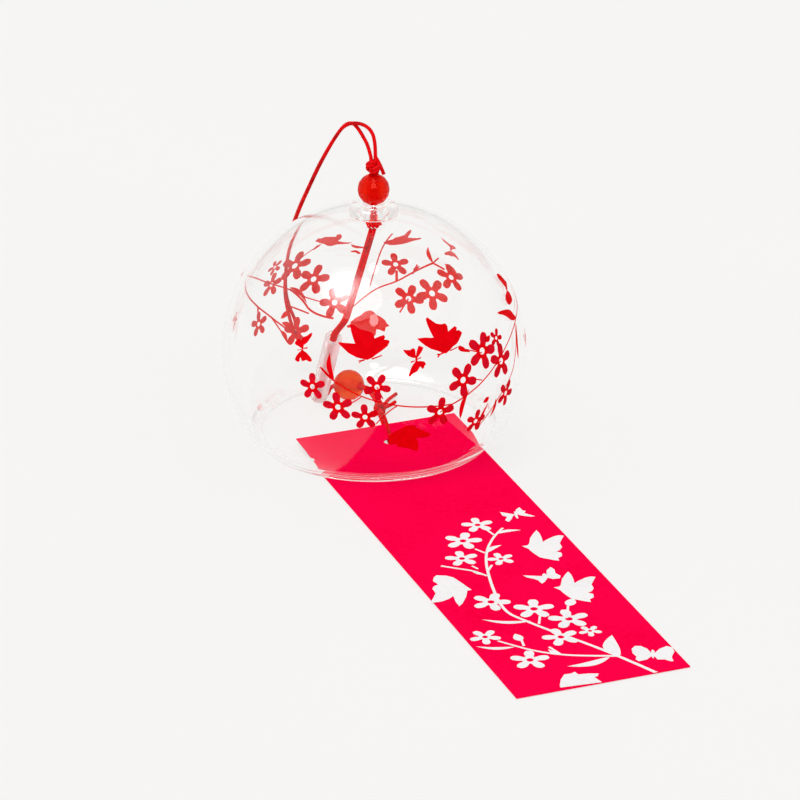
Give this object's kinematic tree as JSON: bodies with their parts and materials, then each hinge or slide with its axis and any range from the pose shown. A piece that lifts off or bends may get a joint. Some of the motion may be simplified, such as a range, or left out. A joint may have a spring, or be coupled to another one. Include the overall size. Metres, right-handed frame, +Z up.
{
  "type": "glass wind bell",
  "caption": "Round glass wind bell with a cord, a glass tube clapper, red beads and a paper strip to catch the wind, standing mouth down on a table.",
  "frame": {"origin": "middle of the outline on the table, counted without the cords: half way between the paper strip's tail and the back of the globe, at table height", "axes": "+Z up along the bell's axis, -Y along the paper strip towards its tail, +X to the right seen from the tail"},
  "size_m": [0.08, 0.1989, 0.0877],
  "materials": {
    "bell_glass": "clear blown glass with a red printed pattern",
    "bead": "clear red, polished",
    "cord": "smooth twisted red cord",
    "tube_glass": "clear glass tube, a little milky",
    "paper": "smooth card printed crimson with a white pattern"
  },
  "bodies": {
    "bell": {"glass_bell": "bell_glass", "near_link": "cord", "far_link": "cord"},
    "hanger": {"neck_cord": "cord", "top_knot": "cord", "stop_knot": "cord"},
    "loop": {"hanging_loop": "cord"},
    "bead_above": {"top_bead": "bead"},
    "clapper": {"clapper_cord": "cord"},
    "tube": {"clapper_tube": "tube_glass"},
    "bead_below": {"lower_bead": "bead"},
    "tie": {"tie_knot": "cord", "long_tail": "cord", "short_tail": "cord", "tie_loop": "cord"},
    "strip": {"paper_strip": "paper"}
  },
  "joints": [
    {"name": "hanger_swivel", "type": "hinge", "parent": "bell", "child": "hanger", "pos_m": [0, 0.056, 0.068], "axis": [0, 0, 1], "continuous": true},
    {"name": "loop_lift", "type": "hinge", "parent": "hanger", "child": "loop", "pos_m": [0, 0.056, 0.0789], "axis": [0.9848, 0.174, 0], "range_deg": [0, 90]},
    {"name": "top_bead_spin", "type": "hinge", "parent": "hanger", "child": "bead_above", "pos_m": [0, 0.056, 0.0699], "axis": [0, 0, 1], "continuous": true},
    {"name": "clapper_swing", "type": "hinge", "parent": "bell", "child": "clapper", "pos_m": [0, 0.056, 0.0596], "axis": [-0.9693, -0.2457, 0], "range_deg": [0, 13], "deforming": ["near_link", "far_link"]},
    {"name": "tube_spin", "type": "hinge", "parent": "clapper", "child": "tube", "pos_m": [-0.00665, 0.08085, 0.00155], "axis": [-0.0558, -0.5645, 0.8236], "continuous": true},
    {"name": "lower_bead_spin", "type": "hinge", "parent": "bell", "child": "bead_below", "pos_m": [0.0015, 0.0792, 0.00425], "axis": [0.5168, -0.8334, 0.1959], "continuous": true},
    {"name": "strip_drop", "type": "hinge", "parent": "bell", "child": "tie", "pos_m": [0.00625, 0.0694, 0.0026], "axis": [1, 0, 0], "range_deg": [0, 90]},
    {"name": "strip_sway", "type": "hinge", "parent": "tie", "child": "strip", "pos_m": [0.0008, 0.0465, 0.00165], "axis": [0, 0, 1], "range_deg": [-15, 15]}
  ]
}
